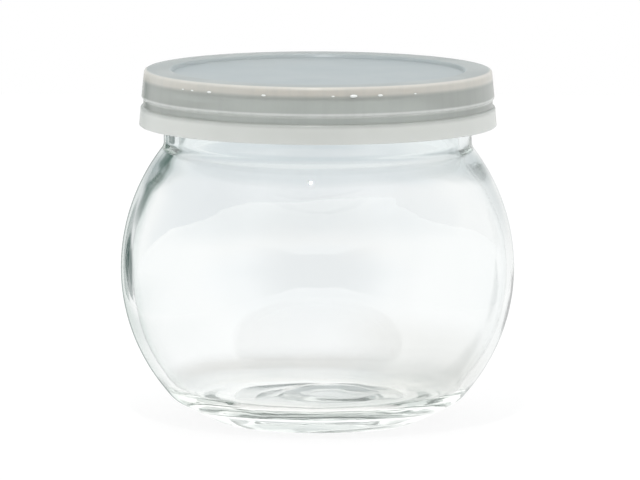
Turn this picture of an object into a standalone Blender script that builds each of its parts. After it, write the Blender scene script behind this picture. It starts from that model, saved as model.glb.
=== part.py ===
"""Small round glass jar with a push-fit plastic lid.

The jar is a hollow glass globe on a sloping heel and a flat foot ring, with a
short neck and a bead round its mouth.  The lid is one thin moulding that drops
over the mouth: a sunk top panel inside a raised rim, a grooved skirt, and an
inward bead that snaps under the glass one.  Both are turned round the Z axis.

Units are metres, +Z is up, and the origin is the centre of the foot.
"""

import math

import bpy
from mathutils import Vector

# --- Jar: the body ---------------------------------------------------------
BODY_RADIUS = 0.0330
BODY_CENTRE_HEIGHT = 0.0255
LOWER_BODY_RADIUS = 0.0315    # below the widest ring the side turns in sooner
WALL = 0.0021
HEEL_TOP = 0.0056             # where the round side gives way to the heel
HEEL_SLOPE = math.radians(27)
HEEL_RADIUS = 0.0050
FOOT_RADIUS = 0.0172
FOOT_EDGE_RADIUS = 0.0010
FLOOR_HEIGHT = 0.0042         # the thick bottom, from the table to the inside
FLOOR_KNUCKLE_RADIUS = 0.0080
FOOT_RING_WIDTH = 0.0032
PUSH_UP_HEIGHT = 0.0012       # hollow under the bottom, inside the foot ring
PUSH_UP_EDGE_RUN = 0.0012
PUSH_UP_EDGE_HEIGHT = 0.0009
PUSH_UP_FILLET = 0.0010

# --- Jar: the neck and the mouth -------------------------------------------
NECK_RADIUS = 0.0258
BORE_RADIUS = 0.0232
SHOULDER_FILLET = 0.0020
BORE_FILLET = 0.0025
BEAD_RADIUS = 0.0279
BEAD_SLOPE_START = 0.0508
BEAD_BOTTOM = 0.0526
BEAD_TOP = 0.0546
BEAD_UNDER_FILLET = 0.0007
BEAD_ROOT_FILLET = 0.0015
RIM_RADIUS = 0.0268
RIM_HEIGHT = 0.0569
RIM_INNER_FILLET = 0.0010
RIM_OUTER_FILLET = 0.0012

# --- Lid: heights are above the rim's seat under the top panel ---------------
SEAT_GAP = 0.0003
PANEL_THICKNESS = 0.0011
PANEL_RADIUS = 0.0243
RIM_RISE = 0.0007             # the raised ring round the sunk panel
RIM_STEP_RUN = 0.0004
LID_TOP_RADIUS = 0.0291
BAND_RADIUS = 0.02955
GROOVE_RADIUS = 0.02925
GROOVE_WALL_SLOPE = 0.0002    # how far each wall of the groove leans
FLANGE_TOP_RADIUS = 0.02970
FLANGE_RADIUS = 0.02995
BAND_BOTTOM = -0.0029
FLANGE_TOP = -0.0045
SKIRT_BOTTOM = -0.0076
SKIRT_BORE_RADIUS = 0.0282
SNAP_BEAD_RADIUS = 0.0271
SNAP_BEAD_HEIGHT = -0.0058
SNAP_BEAD_SLOPE = 0.0009
LIP_BORE_RADIUS = 0.0289
SHOULDER_ROUND = 0.0006
LIP_ROUND = 0.0003            # step round the panel, and lower edge of the skirt
GROOVE_ROUND = 0.0002
SNAP_ROUND = 0.0004

# --- How finely the shapes are turned ---------------------------------------
TURN_STEPS = 60
SIDE_SEGMENTS = 7             # from the widest ring up to the neck, or down to the heel
ARC_SEGMENTS = 5
CORNER_SEGMENTS = 3
LID_CORNER_SEGMENTS = 2
MERGE_DISTANCE = 0.00001


def arc(centre, radius, start, end, segments):
    """Points (r, z) along an arc, both ends included; angles in radians."""
    points = []
    for step in range(segments + 1):
        angle = start + (end - start) * step / segments
        points.append((centre[0] + radius * math.cos(angle),
                       centre[1] + radius * math.sin(angle)))
    return points


def rounded(corners, segments=CORNER_SEGMENTS):
    """A path through corners (r, z, fillet radius), each turned into an arc."""
    path = []
    for index, (r, z, fillet) in enumerate(corners):
        if fillet == 0.0 or index in (0, len(corners) - 1):
            path.append((r, z))
            continue
        corner = Vector((r, z))
        back = (Vector(corners[index - 1][:2]) - corner).normalized()
        ahead = (Vector(corners[index + 1][:2]) - corner).normalized()
        half_angle = back.angle(ahead) / 2
        centre = corner + (back + ahead).normalized() * (fillet / math.sin(half_angle))
        reach = fillet / math.tan(half_angle)
        first = corner + back * reach - centre
        last = corner + ahead * reach - centre
        start = math.atan2(first.y, first.x)
        turn = (math.atan2(last.y, last.x) - start + math.pi) % math.tau - math.pi
        path += arc(centre, fillet, start, start + turn, segments)
    return path


def floor_knuckle(side_centre, side_radius):
    """The arc that rounds the side's inner face into the flat floor.

    Returns its centre, and the angle at which it meets the side.
    """
    reach = side_radius - FLOOR_KNUCKLE_RADIUS
    drop = side_centre[1] - FLOOR_HEIGHT - FLOOR_KNUCKLE_RADIUS
    run = math.sqrt(reach ** 2 - drop ** 2)
    return (side_centre[0] + run, FLOOR_HEIGHT + FLOOR_KNUCKLE_RADIUS), math.atan2(-drop, run)


def heel_corner(side_centre, side_radius):
    """Where the side's tangent at the heel's top meets the slope up from the foot.

    Returns the corner (r, z), and the angle at which the side ends.
    """
    angle = math.asin((HEEL_TOP - side_centre[1]) / side_radius)
    top = (side_centre[0] + side_radius * math.cos(angle), HEEL_TOP)
    down = (math.sin(angle), -math.cos(angle))
    rise = math.tan(HEEL_SLOPE)
    length = ((top[0] - FOOT_RADIUS) * rise - top[1]) / (down[1] - down[0] * rise)
    return (top[0] + down[0] * length, top[1] + down[1] * length), angle


def shoulder(sphere_radius, wall_radius, fillet):
    """The arc that leads a sphere up into an upright wall of wall_radius.

    Returns its centre, and the angle at which it meets the sphere.
    """
    run = wall_radius + fillet
    rise = math.sqrt((sphere_radius + fillet) ** 2 - run ** 2)
    return (run, BODY_CENTRE_HEIGHT + rise), math.atan2(rise, run)


def jar_profile():
    """Half section of the glass, from the middle of the floor round to the foot."""
    upper_side = (0.0, BODY_CENTRE_HEIGHT)
    lower_side = (BODY_RADIUS - LOWER_BODY_RADIUS, BODY_CENTRE_HEIGHT)

    knuckle, inner_low = floor_knuckle(lower_side, LOWER_BODY_RADIUS - WALL)
    inner_shoulder, inner_high = shoulder(BODY_RADIUS - WALL, BORE_RADIUS, BORE_FILLET)
    inside = [(0.0, FLOOR_HEIGHT)]
    inside += arc(knuckle, FLOOR_KNUCKLE_RADIUS, -math.pi / 2, inner_low, ARC_SEGMENTS)
    inside += arc(lower_side, LOWER_BODY_RADIUS - WALL, inner_low, 0.0, SIDE_SEGMENTS)[1:]
    inside += arc(upper_side, BODY_RADIUS - WALL, 0.0, inner_high, SIDE_SEGMENTS)[1:]
    inside += arc(inner_shoulder, BORE_FILLET, inner_high - math.pi, -math.pi,
                  CORNER_SEGMENTS)[1:]

    outer_shoulder, outer_high = shoulder(BODY_RADIUS, NECK_RADIUS, SHOULDER_FILLET)
    mouth = rounded([
        (BORE_RADIUS, inner_shoulder[1], 0.0),
        (BORE_RADIUS, RIM_HEIGHT, RIM_INNER_FILLET),
        (RIM_RADIUS, RIM_HEIGHT, RIM_OUTER_FILLET),
        (BEAD_RADIUS, BEAD_TOP, RIM_OUTER_FILLET),
        (BEAD_RADIUS, BEAD_BOTTOM, BEAD_UNDER_FILLET),
        (NECK_RADIUS, BEAD_SLOPE_START, BEAD_ROOT_FILLET),
        (NECK_RADIUS, outer_shoulder[1], 0.0),
    ])[1:-1]

    heel, outer_low = heel_corner(lower_side, LOWER_BODY_RADIUS)
    outside = arc(outer_shoulder, SHOULDER_FILLET, math.pi, outer_high + math.pi,
                  CORNER_SEGMENTS)
    outside += arc(upper_side, BODY_RADIUS, outer_high, 0.0, SIDE_SEGMENTS)[1:]
    outside += arc(lower_side, LOWER_BODY_RADIUS, 0.0, outer_low, SIDE_SEGMENTS)[1:]

    ring_inside = FOOT_RADIUS - FOOT_RING_WIDTH
    under = rounded([
        (*outside[-1], 0.0),
        (*heel, HEEL_RADIUS),
        (FOOT_RADIUS, 0.0, FOOT_EDGE_RADIUS),
        (ring_inside, 0.0, 0.0),
        (ring_inside - PUSH_UP_EDGE_RUN, PUSH_UP_EDGE_HEIGHT, PUSH_UP_FILLET),
        (0.0, PUSH_UP_HEIGHT, 0.0),
    ])[1:]
    return inside + mouth + outside + under


def lid_profile():
    """Half section of the lid, from the middle of the panel round to its underside."""
    crest = PANEL_THICKNESS + RIM_RISE
    return rounded([
        (0.0, PANEL_THICKNESS, 0.0),
        (PANEL_RADIUS, PANEL_THICKNESS, LIP_ROUND),
        (PANEL_RADIUS + RIM_STEP_RUN, crest, LIP_ROUND),
        (LID_TOP_RADIUS, crest, SHOULDER_ROUND),
        (BAND_RADIUS, BAND_BOTTOM, GROOVE_ROUND),
        (GROOVE_RADIUS, BAND_BOTTOM - GROOVE_WALL_SLOPE, 0.0),
        (GROOVE_RADIUS, FLANGE_TOP + GROOVE_WALL_SLOPE, 0.0),
        (FLANGE_TOP_RADIUS, FLANGE_TOP, GROOVE_ROUND),
        (FLANGE_RADIUS, SKIRT_BOTTOM, LIP_ROUND),
        (LIP_BORE_RADIUS, SKIRT_BOTTOM, LIP_ROUND),
        (SNAP_BEAD_RADIUS, SNAP_BEAD_HEIGHT, SNAP_ROUND),
        (SKIRT_BORE_RADIUS, SNAP_BEAD_HEIGHT + SNAP_BEAD_SLOPE, SNAP_ROUND),
        (SKIRT_BORE_RADIUS, 0.0, SHOULDER_ROUND),
        (0.0, 0.0, 0.0),
    ], segments=LID_CORNER_SEGMENTS)


def turned(name, profile, material, parent, height=0.0):
    """An object that turns a half section once round the Z axis."""
    mesh = bpy.data.meshes.new(name)
    edges = [(index, index + 1) for index in range(len(profile) - 1)]
    mesh.from_pydata([(r, 0.0, z) for r, z in profile], edges, [])
    mesh.materials.append(material)
    obj = bpy.data.objects.new(name, mesh)
    obj.parent = parent
    obj.location.z = height
    screw = obj.modifiers.new("Turn", "SCREW")
    screw.axis = "Z"
    screw.steps = TURN_STEPS
    screw.render_steps = TURN_STEPS
    screw.use_merge_vertices = True
    screw.merge_threshold = MERGE_DISTANCE
    screw.use_smooth_shade = True
    return obj


def principled(name, colour, **settings):
    """A material with one Principled BSDF; settings name its sockets."""
    material = bpy.data.materials.new(name)
    material.use_nodes = True
    shader = material.node_tree.nodes["Principled BSDF"]
    shader.inputs["Base Color"].default_value = (*colour, 1.0)
    for socket, value in settings.items():
        shader.inputs[socket.replace("_", " ")].default_value = value
    return material


def main():
    for obj in list(bpy.data.objects):
        bpy.data.objects.remove(obj)

    collection = bpy.data.collections.new("round_jar")
    bpy.context.scene.collection.children.link(collection)
    foot_centre = bpy.data.objects.new("foot_centre", None)
    collection.objects.link(foot_centre)

    glass = principled("clear_glass", (0.93, 0.98, 0.96),
                       Roughness=0.02, IOR=1.52, Transmission_Weight=1.0)
    plastic = principled("frosted_plastic", (0.72, 0.76, 0.75),
                         Roughness=0.40, IOR=1.51, Transmission_Weight=0.4)

    collection.objects.link(turned("jar_glass", jar_profile(), glass, foot_centre))
    collection.objects.link(turned("snap_lid", lid_profile(), plastic, foot_centre,
                                   height=RIM_HEIGHT + SEAT_GAP))


main()
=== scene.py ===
"""Dresses a small round glass jar and its frosted push-fit lid for a studio picture.

Everything is in metres in the jar's own frame: Z runs up the jar's axis, and the
origin is the centre of its foot.  The glass and the lid are both turned shapes,
but neither is perfectly even: the glass is wavy inside and thicker towards its
shoulder, and the lid shows the small flaws of a soft plastic moulding.

A span gives the place where something starts and the place where it is full.
Where the first is the greater, it grows as the place goes down.
"""

import logging
import math
from collections.abc import Mapping
from dataclasses import dataclass, field
from enum import Enum
from typing import Union

import bmesh
import bpy
from mathutils import Matrix, Vector, noise


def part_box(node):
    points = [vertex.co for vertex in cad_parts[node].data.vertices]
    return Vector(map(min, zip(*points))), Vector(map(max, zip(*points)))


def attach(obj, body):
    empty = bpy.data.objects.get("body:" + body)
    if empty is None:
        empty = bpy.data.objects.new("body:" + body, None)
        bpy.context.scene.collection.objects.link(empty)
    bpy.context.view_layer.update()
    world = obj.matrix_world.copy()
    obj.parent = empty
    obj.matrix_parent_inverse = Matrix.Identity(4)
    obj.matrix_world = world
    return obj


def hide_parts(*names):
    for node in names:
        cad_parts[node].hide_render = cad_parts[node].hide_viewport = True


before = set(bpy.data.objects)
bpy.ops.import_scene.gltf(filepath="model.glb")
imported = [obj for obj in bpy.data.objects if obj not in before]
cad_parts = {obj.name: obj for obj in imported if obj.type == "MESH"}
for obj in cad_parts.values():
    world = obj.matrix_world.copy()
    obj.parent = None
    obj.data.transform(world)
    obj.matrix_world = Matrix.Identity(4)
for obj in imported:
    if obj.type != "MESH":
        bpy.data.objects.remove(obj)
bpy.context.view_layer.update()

LOG = logging.getLogger("spice_jar")

Point = tuple[float, float]
Place = tuple[float, float, float]
Span = tuple[float, float]
Colour = tuple[float, float, float]
Operand = Union["Value", float]

WHITE: Colour = (1.0, 1.0, 1.0)
MERGE_DISTANCE = 1e-6


# --- Shader maths -------------------------------------------------------------


class Value:
    """A node's output that takes part in Python expressions."""

    def __init__(self, graph: "Graph", socket: bpy.types.NodeSocket) -> None:
        """Wraps a socket.

        Args:
            graph: the graph that the socket's node is in.
            socket: the output to wrap.
        """
        self.graph = graph
        self.socket = socket

    def __add__(self, other: Operand) -> "Value":
        """The sum of two values."""
        return self.graph.math("ADD", self, other)

    def __radd__(self, other: Operand) -> "Value":
        """The sum of two values."""
        return self.graph.math("ADD", other, self)

    def __sub__(self, other: Operand) -> "Value":
        """This value less another."""
        return self.graph.math("SUBTRACT", self, other)

    def __rsub__(self, other: Operand) -> "Value":
        """Another value less this one."""
        return self.graph.math("SUBTRACT", other, self)

    def __mul__(self, other: Operand) -> "Value":
        """The product of two values."""
        return self.graph.math("MULTIPLY", self, other)

    def __rmul__(self, other: Operand) -> "Value":
        """The product of two values."""
        return self.graph.math("MULTIPLY", other, self)

    def __truediv__(self, other: Operand) -> "Value":
        """This value over another."""
        return self.graph.math("DIVIDE", self, other)


class Graph:
    """The node graph of a material or of the world, empty at first."""

    def __init__(self, owner: bpy.types.ID) -> None:
        """Clears the owner's nodes.

        Args:
            owner: a material or a world.
        """
        owner.use_nodes = True
        self.tree = owner.node_tree
        self.tree.nodes.clear()

    def node(
        self,
        kind: str,
        settings: Mapping[str, object] | None = None,
        inputs: Mapping[str | int, object] | None = None,
        output: str | int = 0,
    ) -> Value:
        """Adds a node.

        Args:
            kind: the node's type, such as "ShaderNodeMath".
            settings: its properties, set first.
            inputs: a number, a colour or another node's value for each named or
                numbered socket.
            output: the name or number of the output that is wanted.

        Returns:
            The wanted output. An output node has none, and gives its first input.
        """
        made = self.tree.nodes.new(kind)
        for name, setting in (settings or {}).items():
            setattr(made, name, setting)
        for name, given in (inputs or {}).items():
            if isinstance(given, Value):
                self.tree.links.new(given.socket, made.inputs[name])
            else:
                made.inputs[name].default_value = given
        return Value(self, made.outputs[output] if made.outputs else made.inputs[0])

    def math(self, operation: str, *operands: Operand) -> Value:
        """Adds a Math node.

        Args:
            operation: the node's operation.
            operands: its inputs, in order.

        Returns:
            The result.
        """
        settings = {"operation": operation}
        return self.node("ShaderNodeMath", settings, dict(enumerate(operands)))

    def vector_math(
        self, operation: str, *operands: Value | Place | Vector, output: str = "Vector"
    ) -> Value:
        """Adds a Vector Math node.

        Args:
            operation: the node's operation.
            operands: its inputs, in order.
            output: "Vector", or "Value" where the result is a number.

        Returns:
            The result.
        """
        settings = {"operation": operation}
        inputs = dict(enumerate(operands))
        return self.node("ShaderNodeVectorMath", settings, inputs, output)

    def mix(
        self, factor: Operand, first: Colour | Value, second: Colour | Value
    ) -> Value:
        """Mixes two colours.

        Args:
            factor: 0 for the first colour, 1 for the second.
            first: a colour, or a value that holds one.
            second: the same.

        Returns:
            The mixed colour.
        """
        inputs: dict[int, object] = {0: factor}
        for socket, end in ((6, first), (7, second)):
            inputs[socket] = end if isinstance(end, Value) else (*end, 1.0)
        return self.node("ShaderNodeMix", {"data_type": "RGBA"}, inputs, output=2)

    def step(self, value: Value, span: Span) -> Value:
        """Adds a smooth step.

        Args:
            value: what it is a step of.
            span: where it is 0 and where it is 1.

        Returns:
            The step, between 0 and 1.
        """
        turned = span[0] > span[1]
        low, high = sorted(span)
        ends = {1: low, 2: high, 3: float(turned), 4: float(not turned)}
        settings = {"interpolation_type": "SMOOTHSTEP"}
        return self.node("ShaderNodeMapRange", settings, {0: value, **ends})

    def noise(self, place: Value, scale: float, detail: float = 2.0) -> Value:
        """Adds smooth noise.

        Args:
            place: where it is read.
            scale: how many times it changes in a metre, roughly.
            detail: how many finer layers it has.

        Returns:
            The noise, which stays round one half.
        """
        inputs = {"Vector": place, "Scale": scale, "Detail": detail}
        return self.node("ShaderNodeTexNoise", inputs=inputs)

    def place(self) -> Value:
        """The place on the piece, in the jar's frame."""
        return self.node("ShaderNodeTexCoord", output="Object")

    def along(self, vector: Value, axis: str) -> Value:
        """A vector's part along the X, Y or Z axis."""
        inputs = {"Vector": vector}
        return self.node("ShaderNodeSeparateXYZ", inputs=inputs, output=axis)

    def level(self, place: Value) -> Value:
        """A place, moved straight down to the level of the foot."""
        return self.vector_math("MULTIPLY", place, (1.0, 1.0, 0.0))

    def length(self, vector: Value) -> Value:
        """A vector's length."""
        return self.vector_math("LENGTH", vector, output="Value")

    def principled(self, inputs: Mapping[str | int, object]) -> Value:
        """Adds a Principled BSDF with the given inputs."""
        return self.node("ShaderNodeBsdfPrincipled", inputs=inputs)

    def surface(self, shader: Value) -> None:
        """Makes a shader the material's surface."""
        self.node("ShaderNodeOutputMaterial", inputs={"Surface": shader})


# --- Turned shapes ------------------------------------------------------------


class Side(Enum):
    """Which side of a hollow piece's wall a stretch of its section belongs to."""

    OUTER = 0.0
    INNER = 1.0


class HalfSection:
    """A half section, drawn as a wire in the XZ plane, that turns into a closed shell.

    Every point carries the side of the wall that it is on, so that the two
    sides of the finished shell can be shaped apart.
    """

    SIDE_LAYER = "side"

    def __init__(self, start: Point, side: Side) -> None:
        """Starts the wire.

        Args:
            start: its first point, (radius, height).
            side: the side of the wall that it starts on.
        """
        self.mesh = bmesh.new()
        self.layer = self.mesh.verts.layers.float.new(self.SIDE_LAYER)
        made = bmesh.ops.create_vert(self.mesh, co=(start[0], 0.0, start[1]))
        self.tip = made["vert"][0]
        self.side = side
        self.tip[self.layer] = side.value
        self.fillets: list[tuple[bmesh.types.BMVert, float]] = []

    def line(self, radius: float, height: float, fillet: float = 0.0) -> "HalfSection":
        """Draws a straight stretch.

        Args:
            radius: the end's distance from the axis.
            height: the end's height.
            fillet: the radius that later rounds the corner there.

        Returns:
            The section itself.
        """
        made = bmesh.ops.extrude_vert_indiv(self.mesh, verts=[self.tip])
        self.tip = made["verts"][0]
        self.tip.co = (radius, 0.0, height)
        self.tip[self.layer] = self.side.value
        if fillet > 0.0:
            self.fillets.append((self.tip, fillet))
        return self

    def arc(self, centre: Point, sweep: float, steps: int) -> "HalfSection":
        """Draws an arc round a centre.

        Args:
            centre: its (radius, height).
            sweep: the angle in radians, clockwise with the axis on the left.
            steps: how many chords it has.

        Returns:
            The section itself.
        """
        swept = bmesh.ops.spin(
            self.mesh,
            geom=[self.tip],
            cent=(centre[0], 0.0, centre[1]),
            axis=(0.0, 1.0, 0.0),
            angle=sweep,
            steps=steps,
            use_merge=False,
            use_duplicate=False,
        )
        last = swept["geom_last"]
        self.tip = next(made for made in last if isinstance(made, bmesh.types.BMVert))
        return self

    def cross_to(self, side: Side) -> "HalfSection":
        """Says that what follows is on the given side of the wall."""
        self.side = side
        return self

    def turn(self, longest: float, around: int, rounding: int) -> bmesh.types.BMesh:
        """Rounds the corners, spins the wire a quarter turn and mirrors it to a whole.

        Args:
            longest: the longest chord that may stay along the wire.
            around: the number of steps round the axis, a multiple of four.
            rounding: the number of chords in each rounded corner.

        Returns:
            A closed shell whose faces point outwards.
        """
        for corner, fillet in self.fillets:
            self._round(corner, fillet, rounding)
        for edge in self.mesh.edges[:]:
            cuts = math.ceil(edge.calc_length() / longest) - 1
            if cuts > 0:
                bmesh.ops.subdivide_edges(self.mesh, edges=[edge], cuts=cuts)
        bmesh.ops.spin(
            self.mesh,
            geom=self.mesh.verts[:] + self.mesh.edges[:],
            cent=(0.0, 0.0, 0.0),
            axis=(0.0, 0.0, 1.0),
            angle=math.tau / 4.0,
            steps=around // 4,
            use_merge=False,
            use_duplicate=False,
        )
        for axis in "XY":
            bmesh.ops.mirror(
                self.mesh,
                geom=self.mesh.verts[:] + self.mesh.edges[:] + self.mesh.faces[:],
                merge_dist=MERGE_DISTANCE,
                axis=axis,
            )
        bmesh.ops.remove_doubles(
            self.mesh, verts=self.mesh.verts[:], dist=MERGE_DISTANCE
        )
        bmesh.ops.recalc_face_normals(self.mesh, faces=self.mesh.faces[:])
        return self.mesh

    def _round(self, corner: bmesh.types.BMVert, fillet: float, rounding: int) -> None:
        """Rounds one corner of the wire.

        Args:
            corner: the point at the corner.
            fillet: the radius that it gets.
            rounding: the number of chords that it gets.
        """
        arms = [edge.other_vert(corner).co - corner.co for edge in corner.link_edges]
        bmesh.ops.bevel(
            self.mesh,
            geom=[corner],
            offset=fillet / math.tan(arms[0].angle(arms[1]) / 2.0),
            offset_type="OFFSET",
            segments=rounding,
            profile=0.5,
            affect="VERTICES",
            material=-1,
        )


def finished(
    name: str, mesh: bmesh.types.BMesh, material: bpy.types.Material
) -> bpy.types.Object:
    """Makes an object of a mesh, shaded smooth, at the origin.

    Args:
        name: the object's name.
        mesh: its shape, which is used up.
        material: its finish.

    Returns:
        The object, linked to the scene.
    """
    data = bpy.data.meshes.new(name)
    mesh.to_mesh(data)
    mesh.free()
    data.shade_smooth()
    data.materials.append(material)
    made = bpy.data.objects.new(name, data)
    bpy.context.scene.collection.objects.link(made)
    return made


def smooth_step(value: float, span: Span) -> float:
    """A smooth step from 0 at the span's start to 1 at its end."""
    share = min(max((value - span[0]) / (span[1] - span[0]), 0.0), 1.0)
    return share * share * (3.0 - 2.0 * share)


@dataclass(frozen=True)
class Ripple:
    """Smooth noise in space: the rough distance between crests, and their height.

    The seed picks one pattern out of many.
    """

    wavelength: float
    crest: float
    seed: float

    def at(self, place: Vector) -> float:
        """Its height at a place, between about -crest and crest."""
        shift = Vector((self.seed, -self.seed, 2.0 * self.seed))
        return self.crest * noise.noise(place / self.wavelength + shift)


# --- The glass jar ------------------------------------------------------------


@dataclass(frozen=True)
class ClearGlass:
    """Polished soda-lime glass: colourless face on, green along a thick edge, with
    painted shade at its edges and in its tones.
    """

    name: str = "clear_soda_glass"
    refraction: float = 1.52
    tint: Colour = (0.905, 0.945, 0.92)
    tint_density: float = 24.0

    polish: float = 0.002
    haze: float = 0.012
    smear_scale: float = 90.0
    smear_span: Span = (0.45, 0.8)
    foot_scuffs: float = 0.07
    scuff_height: Span = (0.0034, 0.0010)
    scuff_least: float = 0.6
    scuff_gain: float = 0.8
    orange_peel: float = 0.00002
    peel_scale: float = 260.0
    peel_strength: float = 0.35

    face_on: Colour = (0.99, 0.995, 0.995)
    # Painted shade: the glass is darker and warmer in a band round the foot.
    foot_painted_shade: Colour = (0.83, 0.82, 0.80)
    foot_top: Span = (0.0070, 0.0050)
    foot_bottom: Span = (0.0030, 0.0042)
    # Painted shade: above a wavy line round the neck the glass is cooler and darker, as
    # in the lid's shade.
    neck_painted_shade: Colour = (0.915, 0.94, 0.945)
    neck_start: float = 0.0424
    neck_fade: Span = (-0.0004, 0.0008)
    neck_wobble: float = 0.0030
    wobble_scale: float = 55.0
    # Painted shade: the heel is darker low down on its right.
    heel_painted_shade: Colour = (0.90, 0.90, 0.885)
    heel_across: Span = (0.002, 0.016)
    heel_height: Span = (0.015, 0.009)

    # Painted shade: the hollow's floor is darker, in clouds, more towards its edge and
    # on the right.
    floor_painted_shade: Colour = (0.66, 0.69, 0.68)
    floor_slope: float = 0.6
    floor_start: float = 0.0147
    floor_fade: Span = (-0.0003, 0.0003)
    floor_top: Span = (0.0080, 0.0045)
    floor_reach: Span = (0.013, 0.018)
    floor_middle: float = 0.4
    floor_least: float = 0.35
    cloud_share: float = 0.3
    cloud_scale: float = 110.0
    cloud_span: Span = (0.42, 0.6)
    rightward_share: float = 0.35
    rightward: Span = (-0.005, 0.007)

    # Painted shade: at glancing angles the Base Color turns darker and greener, the
    # most on the left.
    left_edge_shade: Colour = (0.48, 0.585, 0.54)
    right_edge_shade: Colour = (0.88, 0.91, 0.90)
    leftward: Span = (0.015, -0.015)
    upright: Span = (0.95, 0.75)
    edge_glance: Span = (0.66, 0.92)
    # Painted shade: a dark, dull shader mixed in at glancing angles darkens the
    # outline, the most on the left.
    edge_shade: Colour = (0.10, 0.16, 0.14)
    shade_roughness: float = 0.4
    shade_glance: Span = (0.86, 0.96)
    left_shade: float = 0.75
    right_shade: float = 0.22

    def material(self) -> bpy.types.Material:
        """Builds the glass.

        Returns:
            A material with a faint haze of smears and a slightly rippled face, which
            gets a painted dark shade where it is met at a glancing angle, the most on
            its left.
        """
        made = bpy.data.materials.new(self.name)
        graph = Graph(made)
        place = graph.place()
        height = graph.along(place, "Z")
        left = graph.step(graph.along(place, "X"), self.leftward)
        glance = graph.node(
            "ShaderNodeLayerWeight", inputs={"Blend": 0.5}, output="Facing"
        )
        normal = graph.node("ShaderNodeNewGeometry", output="True Normal")
        tilt = graph.math("ABSOLUTE", graph.along(normal, "Z"))
        upright = graph.step(tilt, self.upright)
        # Painted shade at glancing angles, darkest on the left.
        edge = graph.mix(left, self.right_edge_shade, self.left_edge_shade)
        edge_share = upright * graph.step(glance, self.edge_glance)
        smears = graph.noise(place, self.smear_scale, 3.0)
        scuffs = self.scuff_least + self.scuff_gain * smears
        scuffs = scuffs * graph.step(height, self.scuff_height)
        peel = {
            "Strength": self.peel_strength,
            "Distance": self.orange_peel,
            "Height": graph.noise(place, self.peel_scale, 1.0),
        }
        body = graph.principled({
            "Base Color": graph.mix(edge_share, self._tone(graph, place), edge),
            "Roughness": self.polish
            + self.haze * graph.step(smears, self.smear_span)
            + self.foot_scuffs * scuffs,
            "IOR": self.refraction,
            "Transmission Weight": 1.0,
            "Normal": graph.node("ShaderNodeBump", inputs=peel),
        })
        # A painted dark shade, mixed in at glancing angles, the most on the left.
        shade = graph.principled({
            "Base Color": (*self.edge_shade, 1.0),
            "Roughness": self.shade_roughness,
            "Specular IOR Level": 0.0,
        })
        most = self.right_shade + (self.left_shade - self.right_shade) * left
        share = most * upright * graph.step(glance, self.shade_glance)
        mixed = graph.node("ShaderNodeMixShader", inputs={0: share, 1: body, 2: shade})
        tint = {"Color": (*self.tint, 1.0), "Density": self.tint_density}
        depth = graph.node("ShaderNodeVolumeAbsorption", inputs=tint)
        ends = {"Surface": mixed, "Volume": depth}
        graph.node("ShaderNodeOutputMaterial", inputs=ends)
        return made

    def _tone(self, graph: Graph, place: Value) -> Value:
        """The tone of a face that isn't met at a glancing angle.

        Args:
            graph: the material's graph.
            place: the place on the glass.

        Returns:
            A colour with painted shade at the foot, the neck, the heel's right and the
            floor.
        """
        across, height = graph.along(place, "X"), graph.along(place, "Z")
        # Painted shade in a band round the foot.
        foot = graph.step(height, self.foot_top) * graph.step(height, self.foot_bottom)
        tone = graph.mix(foot, self.face_on, self.foot_painted_shade)
        # Painted shade above a wavy line under the lid.
        sway = self.neck_wobble * (graph.noise(place, self.wobble_scale, 1.0) - 0.5)
        neck = graph.step(height + sway - self.neck_start, self.neck_fade)
        tone = graph.mix(neck, tone, self.neck_painted_shade)
        # Painted shade low on the heel's right.
        heel = graph.step(across, self.heel_across)
        heel = heel * graph.step(height, self.heel_height)
        tone = graph.mix(heel, tone, self.heel_painted_shade)
        # Painted shade on the hollow's floor.
        reach = graph.length(graph.level(place))
        above = height - self.floor_slope * (reach - self.floor_start)
        floor = graph.step(above, self.floor_fade) * graph.step(height, self.floor_top)
        outward = graph.step(reach, self.floor_reach)
        floor = floor * (self.floor_middle + (1.0 - self.floor_middle) * outward)
        clouds = graph.noise(place, self.cloud_scale, 1.0)
        clouds = graph.step(clouds, self.cloud_span)
        right = graph.step(across, self.rightward)
        share = self.floor_least + self.cloud_share * clouds
        share = share + self.rightward_share * right
        return graph.mix(floor * share, tone, self.floor_painted_shade)


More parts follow.
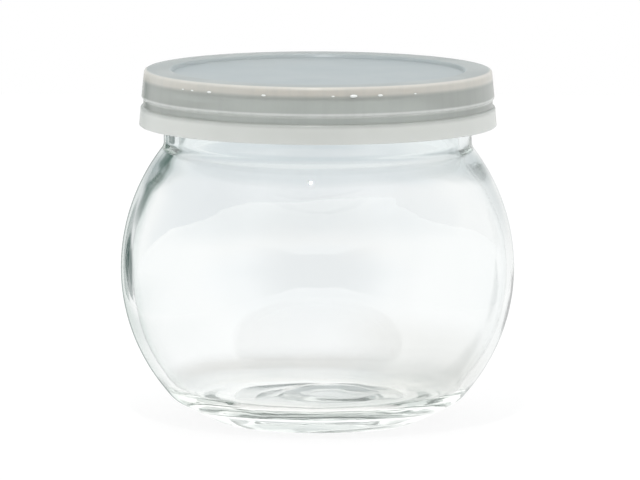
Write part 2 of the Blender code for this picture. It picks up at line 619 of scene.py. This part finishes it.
@dataclass
class GlassJar:
    """A globe of glass on a sloping heel, with a neck and a bead round its mouth."""

    finish: ClearGlass = field(default_factory=ClearGlass)

    body_radius: float = 0.0330
    body_height: float = 0.0255
    lower_radius: float = 0.0315
    wall: float = 0.0015
    floor_height: float = 0.0040
    floor_knuckle: float = 0.0080
    bore: float = 0.0240
    bore_fillet: float = 0.0040

    neck: float = 0.0258
    shoulder_fillet: float = 0.0020
    rim: float = 0.0268
    bead: float = 0.0279
    bead_root: float = 0.0508
    bead_bottom: float = 0.0526
    bead_top: float = 0.0546
    bore_round: float = 0.0010
    rim_round: float = 0.0012
    bead_round: float = 0.0007
    root_round: float = 0.0015

    heel_top: float = 0.0056
    heel_slope: float = math.radians(27.0)
    heel_round: float = 0.0050
    foot: float = 0.0172
    foot_round: float = 0.0010
    ring_width: float = 0.0032
    ring_round: float = 0.0012
    push_up: float = 0.0012
    push_up_run: float = 0.0034
    push_up_start: float = 0.75
    push_up_round: float = 0.0030

    wall_lean: float = 0.0001
    wall_gain: float = 0.0004
    gain_height: Span = (0.026, 0.042)
    rim_clearance: float = 0.004
    settle_height: float = 0.0425
    settle_spread: float = 0.0024
    settle_wander: float = 0.0008
    settle_phase: float = 0.6
    settle_ripple: Ripple = Ripple(0.45, 1.5, 3.0)
    settle_depth: float = 0.0003
    line_ripple: Ripple = Ripple(0.012, 0.00004, 11.0)
    line_stretch: float = 4.0
    inner_ripple: Ripple = Ripple(0.010, 0.00004, 5.0)

    face_ripple: Ripple = Ripple(0.012, 0.000015, 7.0)
    face_height: Span = (0.006, 0.012)
    dome_radius: float = 0.0115
    dome_edge: float = 0.0038
    dome_rise: float = 0.0006
    dome_offset: float = 0.0044
    floor_span: Span = (0.012, 0.006)
    floor_ripples: tuple[Ripple, ...] = (
        Ripple(0.006, 0.00006, 17.0),
        Ripple(0.003, 0.00003, 19.0),
    )
    bottom_ripple: Ripple = Ripple(0.007, 0.00006, 23.0)
    bottom_sink: float = 0.000048
    bottom_height: Span = (0.0030, 0.0020)

    inner_steps: tuple[int, ...] = (14, 24, 30, 12)
    outer_steps: tuple[int, ...] = (8, 40, 26)
    rounding: int = 6
    longest: float = 0.0009
    around: int = 288
    top: float = field(init=False)

    def __post_init__(self) -> None:
        """Takes the height of the glass rim from the plain solid."""
        self.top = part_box("jar_glass")[1].z

    def build(self) -> bpy.types.Object:
        """Builds the jar and puts it on its body in the place of the plain solid.

        Returns:
            The jar.
        """
        section = self._inside()
        self._mouth(section)
        self._outside(section)
        mesh = section.turn(self.longest, self.around, self.rounding)
        self._make_uneven(mesh, section.layer)
        jar = finished("jar_shell", mesh, self.finish.material())
        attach(jar, "root")
        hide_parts("jar_glass")
        return jar

    @property
    def lower_centre(self) -> Point:
        """The centre of the arc below the widest ring."""
        return (self.body_radius - self.lower_radius, self.body_height)

    def _shoulder(self, side: float, wall: float, fillet: float) -> tuple[Point, float]:
        """The arc that leads the globe up into an upright wall.

        Args:
            side: the globe's radius.
            wall: the upright wall's radius.
            fillet: the arc's radius.

        Returns:
            The arc's centre, and the angle above level at which it meets the globe.
        """
        run = wall + fillet
        rise = math.sqrt((side + fillet) ** 2 - run**2)
        return (run, self.body_height + rise), math.atan2(rise, run)

    def _inside(self) -> HalfSection:
        """Draws the hollow, from the middle of its floor up into the bore.

        Returns:
            The section, which goes on at the foot of the bore.
        """
        side = self.lower_radius - self.wall
        reach = side - self.floor_knuckle
        drop = self.body_height - self.floor_height - self.floor_knuckle
        run = math.sqrt(reach**2 - drop**2)
        knuckle = (self.lower_centre[0] + run, self.floor_height + self.floor_knuckle)
        low = math.atan2(drop, run)
        globe = self.body_radius - self.wall
        shoulder, high = self._shoulder(globe, self.bore, self.bore_fillet)
        section = HalfSection((0.0, self.floor_height), Side.INNER)
        section.line(knuckle[0], self.floor_height)
        arcs = (
            (knuckle, low - math.pi / 2.0),
            (self.lower_centre, -low),
            ((0.0, self.body_height), -high),
            (shoulder, high),
        )
        for (centre, sweep), steps in zip(arcs, self.inner_steps):
            section.arc(centre, sweep, steps)
        return section

    def _mouth(self, section: HalfSection) -> None:
        """Draws the bore, the rim, the bead and the neck below it.

        Args:
            section: the section, drawn as far as the foot of the bore.
        """
        section.line(self.bore, self.top, self.bore_round)
        section.cross_to(Side.OUTER)
        section.line(self.rim, self.top, self.rim_round)
        section.line(self.bead, self.bead_top, self.rim_round)
        section.line(self.bead, self.bead_bottom, self.bead_round)
        section.line(self.neck, self.bead_root, self.root_round)

    def _outside(self, section: HalfSection) -> None:
        """Draws the shoulder, the globe, the heel, the foot ring and the bottom.

        Args:
            section: the section, drawn as far as the neck.
        """
        shoulder, high = self._shoulder(
            self.body_radius, self.neck, self.shoulder_fillet
        )
        low = math.asin((self.body_height - self.heel_top) / self.lower_radius)
        section.line(self.neck, shoulder[1])
        arcs = (
            (shoulder, -high),
            ((0.0, self.body_height), high),
            (self.lower_centre, low),
        )
        for (centre, sweep), steps in zip(arcs, self.outer_steps):
            section.arc(centre, sweep, steps)
        section.line(*self._heel_corner(low), self.heel_round)
        section.line(self.foot, 0.0, self.foot_round)
        ring_inside = self.foot - self.ring_width
        section.line(ring_inside, 0.0, self.ring_round)
        section.line(
            ring_inside - self.push_up_run,
            self.push_up * self.push_up_start,
            self.push_up_round,
        )
        section.line(0.0, self.push_up)

    def _heel_corner(self, low: float) -> Point:
        """Where the side's tangent at the heel's top meets the slope up from the foot.

        Args:
            low: the angle below level at which the side ends.

        Returns:
            The corner, as (radius, height).
        """
        start = self.lower_centre[0] + self.lower_radius * math.cos(low)
        rise = math.tan(self.heel_slope)
        inward, down = math.sin(low), math.cos(low)
        length = (self.heel_top - (start - self.foot) * rise) / (down - inward * rise)
        return (start - inward * length, self.heel_top - down * length)

    def _make_uneven(
        self, mesh: bmesh.types.BMesh, layer: bmesh.types.BMLayerItem
    ) -> None:
        """Gives the wall the uneven thickness and the ripples of cheap pressed glass.

        Args:
            mesh: the jar, with even walls.
            layer: the vertex layer that says which side of the wall a point is on.
        """
        mesh.normal_update()
        for vert in mesh.verts:
            if vert[layer] == Side.INNER.value:
                vert.co += vert.normal * self._inner_shift(vert.co)
            else:
                vert.co += vert.normal * self._outer_shift(vert.co)

    def _inner_shift(self, place: Vector) -> float:
        """Shapes the inside.

        Args:
            place: a place on it.

        Returns:
            How far it stands into the hollow there, in metres.
        """
        below_rim = smooth_step(place.z, (self.top, self.top - self.rim_clearance))
        leftward = -place.x / self.body_radius
        gain = self.wall_gain * smooth_step(place.z, self.gain_height)
        stretched = Vector((place.x, place.y, self.line_stretch * place.z))
        lines = self.settle_depth + self.line_ripple.at(stretched)
        upper = self.wall_lean * leftward + gain + lines * self._settled(place)
        swell = self.inner_ripple.at(place) + self._floor_swell(place)
        return below_rim * upper + swell

    def _settled(self, place: Vector) -> float:
        """Tells the thicker glass of the shoulder from the rest.

        Args:
            place: a place on the inside.

        Returns:
            0 below the wavy line where the thicker glass starts, and 1 above it.
        """
        around = math.atan2(place.x, -place.y)
        ring = Vector((math.sin(around), math.cos(around), 0.0))
        wander = math.sin(2.0 * around + self.settle_phase)
        middle = self.settle_height + self.settle_wander * (
            wander + self.settle_ripple.at(ring)
        )
        spread = self.settle_spread
        return smooth_step(place.z, (middle - spread, middle + spread))

    def _floor_swell(self, place: Vector) -> float:
        """Shapes the hollow's floor.

        Args:
            place: a place on the inside.

        Returns:
            How far the floor stands up there, in metres.
        """
        reach = math.hypot(place.x - self.dome_offset, place.y)
        edge = (self.dome_radius, self.dome_radius - self.dome_edge)
        rise = self.dome_rise * smooth_step(reach, edge)
        lumps = sum(ripple.at(place) for ripple in self.floor_ripples)
        return smooth_step(place.z, self.floor_span) * (rise + lumps)

    def _outer_shift(self, place: Vector) -> float:
        """Shapes the outside.

        Args:
            place: a place on it.

        Returns:
            How far it stands proud there, in metres.
        """
        waves = self.face_ripple.at(place) * smooth_step(place.z, self.face_height)
        ring_inside = self.foot - self.ring_width
        reach = math.hypot(place.x, place.y)
        beneath = smooth_step(reach, (ring_inside, ring_inside - self.ring_width))
        beneath *= smooth_step(place.z, self.bottom_height)
        return waves + beneath * (self.bottom_ripple.at(place) - self.bottom_sink)


# --- The lid ------------------------------------------------------------------


@dataclass(frozen=True)
class FrostedPlastic:
    """Milky, translucent polyethylene with a satin face.

    The skirt's thin band is the clearest, and the thick flange and rim the milkiest.
    Heights are above the lid's seat, and reaches from its axis.
    """

    name: str = "frosted_polyethylene"
    refraction: float = 1.51
    clearness: float = 0.85
    seep: float = 0.0012

    panel: Colour = (0.485, 0.54, 0.555)
    # Painted shade: the raised rim's top, round the step of the sunk panel, is darker
    # than the panel.
    crest: Colour = (0.37, 0.395, 0.39)
    rim: Colour = (0.72, 0.69, 0.635)
    band: Colour = (0.71, 0.73, 0.69)
    # Painted highlight: a pale line along the band's lower edge.
    highlit_lip: Colour = (0.97, 0.98, 0.95)
    lip_highlight_share: float = 0.8
    flange: Colour = (0.79, 0.80, 0.77)
    cloudy: Colour = (0.55, 0.57, 0.55)
    cloudy_share: float = 0.25
    marks_share: float = 0.12

    rim_reach: Span = (0.0243, 0.0252)
    skirt_reach: Span = (0.0285, 0.0290)
    plate_height: Span = (-0.0002, 0.0006)
    flange_height: Span = (-0.0042, -0.0052)
    lip_top: Span = (-0.0024, -0.0027)
    lip_bottom: Span = (-0.0035, -0.0031)
    cloud_scale: float = 90.0
    cloud_span: Span = (0.35, 0.7)
    drag_scale: float = 700.0
    drag_span: Span = (0.45, 0.62)
    grain_scale: float = 1800.0

    panel_milk: float = 0.60
    rim_milk: float = 0.80
    band_milk: float = 0.40
    flange_milk: float = 0.85
    lip_milk: float = 0.5
    cloud_milk: float = 0.14

    clear_roughness: float = 0.16
    milky_roughness: float = 0.30
    cloud_roughness: float = 0.16
    crest_roughness: float = 0.16
    relief: float = 0.00003
    relief_strength: float = 0.25
    drag_relief: float = 0.3

    def material(self, seat: float) -> bpy.types.Material:
        """Builds the plastic.

        Args:
            seat: the height of the lid panel's underside.

        Returns:
            A material that mixes a clear and a milky plastic by place, with clouds,
            upright drag marks round the skirt and a fine grain.
        """
        made = bpy.data.materials.new(self.name)
        graph = Graph(made)
        place = graph.place()
        height = graph.along(place, "Z") - seat
        level = graph.level(place)
        reach = graph.length(level)
        cloud = graph.noise(place, self.cloud_scale, 4.0)
        drag = graph.noise(level, self.drag_scale, 3.0)
        grain = graph.noise(place, self.grain_scale)
        rim = graph.step(reach, self.rim_reach)
        skirt = graph.step(reach, self.skirt_reach)
        plate = graph.step(height, self.plate_height)
        flange = graph.step(height, self.flange_height)
        highlit_lip = graph.step(height, self.lip_top) * graph.step(height, self.lip_bottom)

        colour = graph.mix(plate, self.band, self.rim)
        colour = graph.mix(flange, colour, self.flange)
        # Painted highlight along the band's lower edge.
        colour = graph.mix(self.lip_highlight_share * highlit_lip, colour, self.highlit_lip)
        # Painted shade on the raised rim's top, round the panel's step.
        colour = graph.mix(skirt, self.crest, colour)
        colour = graph.mix(rim, self.panel, colour)
        marks = skirt * (1.0 - flange) * graph.step(drag, self.drag_span)
        clouds = self.cloudy_share * graph.step(cloud, self.cloud_span)
        colour = graph.mix(clouds + self.marks_share * marks, colour, self.cloudy)

        skirt_milk = self.band_milk + (self.rim_milk - self.band_milk) * plate
        thick = flange + self.lip_milk * highlit_lip
        skirt_milk = skirt_milk + (self.flange_milk - self.band_milk) * thick
        milk = self.panel_milk + rim * (skirt_milk - self.panel_milk)
        milk = milk + self.cloud_milk * (cloud - 0.5)

        relief = {
            "Strength": self.relief_strength,
            "Distance": self.relief,
            "Height": grain + self.drag_relief * drag,
        }
        shared = {
            "Base Color": colour,
            "IOR": self.refraction,
            "Normal": graph.node("ShaderNodeBump", inputs=relief),
            "Subsurface Weight": 1.0,
            "Subsurface Radius": (1.0, 1.0, 1.0),
            "Subsurface Scale": self.seep,
        }
        satin = self.cloud_roughness * cloud
        crest = self.crest_roughness * rim * (1.0 - skirt)
        clear = graph.principled({
            **shared,
            "Roughness": self.clear_roughness + satin,
            "Transmission Weight": self.clearness,
        })
        rough = self.milky_roughness + satin + crest
        milky = graph.principled({**shared, "Roughness": rough})
        mixed = {0: milk, 1: clear, 2: milky}
        graph.surface(graph.node("ShaderNodeMixShader", inputs=mixed))
        return made


@dataclass(frozen=True)
class PaleGlintNib:
    """The same plastic, smooth on a small raised mark and pale there as a painted
    highlight.
    """

    name: str = "pale_glint_polyethylene"
    refraction: float = 1.51
    # Painted highlight: the marks' pale colour.
    colour: Colour = (0.93, 0.94, 0.92)
    worn: Colour = (0.88, 0.90, 0.88)
    scuff_scale: float = 1500.0
    polish: float = 0.08
    scuffs: float = 0.10

    def material(self) -> bpy.types.Material:
        """Builds the smooth, pale plastic, whose pale colour is a painted highlight.

        Returns:
            A material with a faint scuffing.
        """
        made = bpy.data.materials.new(self.name)
        graph = Graph(made)
        scuff = graph.noise(graph.place(), self.scuff_scale)
        body = graph.principled({
            "Base Color": graph.mix(scuff, self.colour, self.worn),
            "Roughness": self.polish + self.scuffs * scuff,
            "IOR": self.refraction,
        })
        graph.surface(body)
        return made


@dataclass(frozen=True)
class Nib:
    """A small raised mark: its bearing from the front in degrees, and its radius."""

    bearing: float
    radius: float


@dataclass
class PushFitLid:
    """A thin moulding: a sunk panel in a raised rim, and a grooved skirt.

    Heights are above the lid's seat, the height of its panel's underside.
    """

    finish: FrostedPlastic = field(default_factory=FrostedPlastic)
    nib_finish: PaleGlintNib = field(default_factory=PaleGlintNib)

    # Pale marks, a painted highlight, which the lamp also glints on.
    nibs: tuple[Nib, ...] = (
        Nib(-49.5, 0.00018),
        Nib(-45.0, 0.00020),
        Nib(-37.6, 0.00028),
        Nib(-17.7, 0.00024),
        Nib(4.8, 0.00018),
        Nib(11.5, 0.00038),
        Nib(20.4, 0.00028),
        Nib(33.0, 0.00016),
    )
    nib_stretch: Place = (1.8, 1.0, 0.8)
    nib_sink: float = 0.45
    nib_height: float = 0.0003

    panel_thickness: float = 0.0011
    panel_radius: float = 0.0243
    panel_round: float = 0.0004
    rim_rise: float = 0.0007
    rim_step: float = 0.0004
    top_radius: float = 0.0291
    shoulder_round: float = 0.0006
    band_radius: float = 0.02955
    band_bottom: float = -0.0029
    groove_radius: float = 0.02925
    groove_slope: float = 0.0002
    groove_round: float = 0.0001
    flange_top_radius: float = 0.02970
    flange_top: float = -0.0045
    flange_round: float = 0.0003
    flange_radius: float = 0.02995
    skirt_bottom: float = -0.0076
    edge_round: float = 0.0002
    lip_bore: float = 0.0289
    snap_radius: float = 0.0271
    snap_height: float = -0.0058
    snap_slope: float = 0.0009
    snap_round: float = 0.0004
    skirt_bore: float = 0.0282
    corner_round: float = 0.0010

    rounding: int = 5
    longest: float = 0.0009
    around: int = 288
    seat: float = field(init=False)

    def __post_init__(self) -> None:
        """Works out the seat's height from the plain solid's top."""
        self.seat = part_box("snap_lid")[1].z - self.crest

    @property
    def crest(self) -> float:
        """The height of the raised rim."""
        return self.panel_thickness + self.rim_rise

    def build(self) -> bpy.types.Object:
        """Builds the lid and puts it on its body in the place of the plain solid.

        Returns:
            The lid.
        """
        mesh = self._section().turn(self.longest, self.around, self.rounding)
        lid = finished("lid_shell", mesh, self.finish.material(self.seat))
        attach(lid, "root")
        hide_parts("snap_lid")
        return lid

    def add_nibs(self) -> bpy.types.Object:
        """Raises small pale round marks under the rim's shoulder, as painted highlights
        that the lamp also glints on.

        Returns:
            The marks, as one piece.
        """
        mesh = bmesh.new()
        drop = (self.crest - self.nib_height) / (self.crest - self.band_bottom)
        wall = self.top_radius + drop * (self.band_radius - self.top_radius)
        for nib in self.nibs:
            turn = math.radians(nib.bearing)
            reach = wall - self.nib_sink * nib.radius
            across, away = reach * math.sin(turn), -reach * math.cos(turn)
            place = (across, away, self.seat + self.nib_height)
            ball = bmesh.ops.create_icosphere(mesh, subdivisions=3, radius=nib.radius)
            verts = ball["verts"]
            spin = Matrix.Rotation(turn, 3, "Z")
            bmesh.ops.scale(mesh, vec=self.nib_stretch, verts=verts)
            bmesh.ops.rotate(mesh, matrix=spin, verts=verts)
            bmesh.ops.translate(mesh, vec=place, verts=verts)
        nibs = finished("lid_nibs", mesh, self.nib_finish.material())
        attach(nibs, "root")
        return nibs

    def _section(self) -> HalfSection:
        """Draws the moulding, from the middle of the panel round to its underside.

        Returns:
            The whole section.
        """
        slope = self.groove_slope
        outside = (
            (self.panel_radius, self.panel_thickness, self.panel_round),
            (self.panel_radius + self.rim_step, self.crest, self.panel_round),
            (self.top_radius, self.crest, self.shoulder_round),
            (self.band_radius, self.band_bottom, self.edge_round),
            (self.groove_radius, self.band_bottom - slope, self.groove_round),
            (self.groove_radius, self.flange_top + slope, self.groove_round),
            (self.flange_top_radius, self.flange_top, self.flange_round),
            (self.flange_radius, self.skirt_bottom, self.edge_round),
        )
        inside = (
            (self.lip_bore, self.skirt_bottom, self.edge_round),
            (self.snap_radius, self.snap_height, self.snap_round),
            (self.skirt_bore, self.snap_height + self.snap_slope, self.snap_round),
            (self.skirt_bore, 0.0, self.corner_round),
            (0.0, 0.0, 0.0),
        )
        section = HalfSection((0.0, self.seat + self.panel_thickness), Side.OUTER)
        for side, corners in ((Side.OUTER, outside), (Side.INNER, inside)):
            section.cross_to(side)
            for radius, height, fillet in corners:
                section.line(radius, self.seat + height, fillet)
        return section


# --- The studio ---------------------------------------------------------------


@dataclass(frozen=True)
class Patch:
    """A soft oval patch of the table top that the glass picks up in another tone:
    painted shade where darker, painted light where brighter.
    """

    middle: Point
    spread: Point
    colour: Colour
    fade: Span = (1.0, 0.1)

    def cover(self, across: Value, away: Value) -> Value:
        """How much of the table top it covers at a place.

        Args:
            across: the place's X.
            away: its Y.

        Returns:
            A share from 0 to 1.
        """
        offset_x = (across - self.middle[0]) / self.spread[0]
        offset_y = (away - self.middle[1]) / self.spread[1]
        return across.graph.step(offset_x * offset_x + offset_y * offset_y, self.fade)


@dataclass(frozen=True)
class PaleFloor:
    """A white table top, lit mostly from below.

    The glass also picks up painted shade in its glow: a cool patch far behind it, a
    paler one nearer, darker strips on both sides, and a painted pool of the light that
    it gathers under itself, none of which show.
    """

    name: str = "pale_table_top"
    colour: Colour = (0.10, 0.10, 0.10)
    mottled: Colour = (0.11, 0.11, 0.11)
    mottle_scale: float = 4.0
    roughness: float = 0.9
    gloss: float = 0.1
    glow: float = 0.90
    # Painted shade: what the glass picks up of the table is a little dimmer than the
    # camera's white.
    picked_up: Colour = (0.955, 0.96, 0.957)
    # Painted shade in the first two patches, far behind the jar and nearer it.
    patches: tuple[Patch, ...] = (
        Patch((-0.012, 0.50), (0.075, 0.24), (0.84, 0.865, 0.875)),
        Patch((-0.004, 0.19), (0.030, 0.115), (0.925, 0.945, 0.955)),
        # Painted pool of light: the bright patch under the jar.
        Patch((0.0, 0.0), (0.034, 0.034), (1.30, 1.30, 1.29)),
    )
    # Painted shade: darker strips on both sides of the jar, which the glass picks up
    # and the camera doesn't see.
    left_painted_shade: Colour = (0.77, 0.80, 0.79)
    right_painted_shade: Colour = (0.90, 0.91, 0.91)
    rightward: Span = (-0.01, 0.01)
    shade_inside: Span = (0.034, 0.058)
    shade_outside: Span = (0.077, 0.062)
    shade_far: Span = (0.20, 0.10)
    shade_near: Span = (-0.06, -0.02)

    def material(self) -> bpy.types.Material:
        """Builds the white surface.

        Returns:
            A faintly mottled white that glows, with painted shade and a painted pool of
            light in what the glass picks up, and plain white for the camera.
        """
        made = bpy.data.materials.new(self.name)
        graph = Graph(made)
        place = graph.place()
        across, away = graph.along(place, "X"), graph.along(place, "Y")
        aside = graph.math("ABSOLUTE", across)
        right = graph.step(across, self.rightward)
        # Painted shade in strips on both sides.
        side_shade = graph.mix(right, self.left_painted_shade, self.right_painted_shade)
        side_shaded = (
            graph.step(aside, self.shade_inside)
            * graph.step(aside, self.shade_outside)
            * graph.step(away, self.shade_far)
            * graph.step(away, self.shade_near)
        )
        tone = graph.mix(side_shaded, self.picked_up, side_shade)
        # Painted shade and a painted pool of light, as patches.
        for patch in self.patches:
            tone = graph.mix(patch.cover(across, away), tone, patch.colour)
        seen = graph.node("ShaderNodeLightPath", output="Is Camera Ray")
        mottle = graph.noise(place, self.mottle_scale)
        body = graph.principled({
            "Base Color": graph.mix(mottle, self.colour, self.mottled),
            "Roughness": self.roughness,
            "Specular IOR Level": self.gloss,
            "Emission Color": graph.mix(seen, tone, WHITE),
            "Emission Strength": self.glow,
        })
        graph.surface(body)
        return made


@dataclass(frozen=True)
class Panel:
    """A soft-edged round patch of the room, as bright or dark as a panel hung there.

    Its angles are in degrees. It is whole within its core, and ends at its reach.
    """

    bearing: float
    height: float
    core: float
    reach: float
    colour: Colour

    @property
    def direction(self) -> Vector:
        """The way to its middle: 0 degrees is behind the jar, and 90 to its right."""
        bearing, height = math.radians(self.bearing), math.radians(self.height)
        level = math.cos(height)
        across, away = level * math.sin(bearing), level * math.cos(bearing)
        return Vector((across, away, math.sin(height)))

    def cover(self, direction: Value) -> Value:
        """How much of the room it covers in a direction.

        Args:
            direction: the way that is looked.

        Returns:
            A share from 0 to 1.
        """
        graph = direction.graph
        ways = (direction, self.direction)
        facing = graph.vector_math("DOT_PRODUCT", *ways, output="Value")
        far, near = math.radians(self.reach), math.radians(self.core)
        return graph.step(facing, (math.cos(far), math.cos(near)))


@dataclass(frozen=True)
class Lamp:
    """A square lamp that points at the jar and that the camera doesn't see."""

    name: str
    place: Place
    side: float
    power: float

    def hang(self) -> None:
        """Hangs the lamp."""
        lamp = bpy.data.lights.new(self.name, "AREA")
        lamp.size = self.side
        lamp.energy = self.power
        made = bpy.data.objects.new(self.name, lamp)
        made.location = self.place
        made.rotation_euler = (-Vector(self.place)).to_track_quat("-Z", "Y").to_euler()
        made.visible_camera = False
        bpy.context.scene.collection.objects.link(made)


@dataclass
class Studio:
    """The table top, the surroundings, the lamp and the camera."""

    floor: PaleFloor = field(default_factory=PaleFloor)
    floor_near_left: Point = (-0.078, -0.40)
    floor_far_right: Point = (0.090, 0.50)

    camera_distance: float = 1.10
    camera_height: float = 0.1743
    camera_aim: Place = (0.0004, 0.0, 0.0301)
    camera_roll: float = math.radians(0.15)
    lens: float = 371.8
    bounces: int = 64
    clamp: float = 4.0

    walls: Colour = (0.60, 0.64, 0.65)
    ceiling: Colour = (1.25, 1.25, 1.25)
    ceiling_height: Span = (0.45, 0.80)
    ground: Colour = (0.955, 0.96, 0.957)
    ground_height: Span = (0.18, -0.04)
    panels: tuple[Panel, ...] = (
        Panel(70.0, 12.0, 25.0, 55.0, (0.95, 0.97, 0.97)),
        Panel(-74.0, 8.0, 26.0, 50.0, (0.94, 0.97, 0.97)),
        Panel(-27.0, 16.0, 8.0, 12.5, (0.12, 0.18, 0.16)),
        Panel(-27.0, -5.0, 5.5, 8.5, (0.02, 0.07, 0.06)),
        Panel(180.0, 17.0, 1.0, 50.0, (0.10, 0.12, 0.13)),
        Panel(-2.5, 0.0, 2.0, 8.5, (0.80, 0.83, 0.85)),
    )
    lamp: Lamp = Lamp("front_bulb", (-0.063, -0.60, 0.955), 0.010, 4.2)

    def build(self) -> None:
        """Builds all of it, and sets how the picture is exposed."""
        self._lay_floor()
        self._surround()
        self.lamp.hang()
        self._place_camera()
        scene = bpy.context.scene
        scene.view_settings.view_transform = "Standard"
        scene.cycles.use_denoising = True
        scene.cycles.max_bounces = self.bounces
        scene.cycles.transmission_bounces = self.bounces
        scene.cycles.glossy_bounces = self.bounces
        scene.cycles.sample_clamp_indirect = self.clamp

    def _lay_floor(self) -> None:
        """Lays a plain table top right under the jar's foot."""
        ends = list(zip(self.floor_near_left, self.floor_far_right))
        spans = [high - low for low, high in ends]
        middle = [0.5 * (low + high) for low, high in ends]
        mesh = bmesh.new()
        bmesh.ops.create_grid(mesh, x_segments=8, y_segments=8, size=0.5)
        bmesh.ops.scale(mesh, vec=(*spans, 1.0), verts=mesh.verts[:])
        bmesh.ops.translate(mesh, vec=(*middle, 0.0), verts=mesh.verts[:])
        top = finished("table_top", mesh, self.floor.material())

    def _surround(self) -> None:
        """Surrounds the jar with a soft grey room that the camera sees as white."""
        world = bpy.data.worlds.new("surroundings")
        bpy.context.scene.world = world
        graph = Graph(world)
        direction = graph.node("ShaderNodeTexCoord", output="Generated")
        height = graph.along(direction, "Z")
        upper = graph.step(height, self.ceiling_height)
        room = graph.mix(upper, self.walls, self.ceiling)
        room = graph.mix(graph.step(height, self.ground_height), room, self.ground)
        for panel in self.panels:
            room = graph.mix(panel.cover(direction), room, panel.colour)
        seen = graph.node("ShaderNodeLightPath", output="Is Camera Ray")
        light = {"Color": graph.mix(seen, room, WHITE)}
        sky = graph.node("ShaderNodeBackground", inputs=light)
        graph.node("ShaderNodeOutputWorld", inputs={"Surface": sky})

    def _place_camera(self) -> None:
        """Places the camera a little above the jar, looking slightly down at it."""
        data = bpy.data.cameras.new("camera")
        data.lens = self.lens
        data.sensor_width = 36.0
        data.clip_start = 0.05
        data.clip_end = 12.0
        camera = bpy.data.objects.new("camera", data)
        camera.location = (0.0, -self.camera_distance, self.camera_height)
        aim = Vector(self.camera_aim) - camera.location
        camera.rotation_euler = aim.to_track_quat("-Z", "Y").to_euler()
        camera.rotation_euler.rotate_axis("Z", self.camera_roll)
        bpy.context.scene.collection.objects.link(camera)
        bpy.context.scene.camera = camera


# --- The whole ----------------------------------------------------------------


def main() -> None:
    """Builds the pieces in order, and reports each one."""
    logging.basicConfig(level=logging.INFO, format="%(message)s")
    lid = PushFitLid()
    for build in (GlassJar().build, lid.build, lid.add_nibs):
        piece = build()
        size = ", ".join(f"{1000.0 * side:.2f}" for side in piece.dimensions)
        LOG.info("%s: %s mm, %d faces", piece.name, size, len(piece.data.polygons))
    Studio().build()


if __name__ == "__main__":
    main()
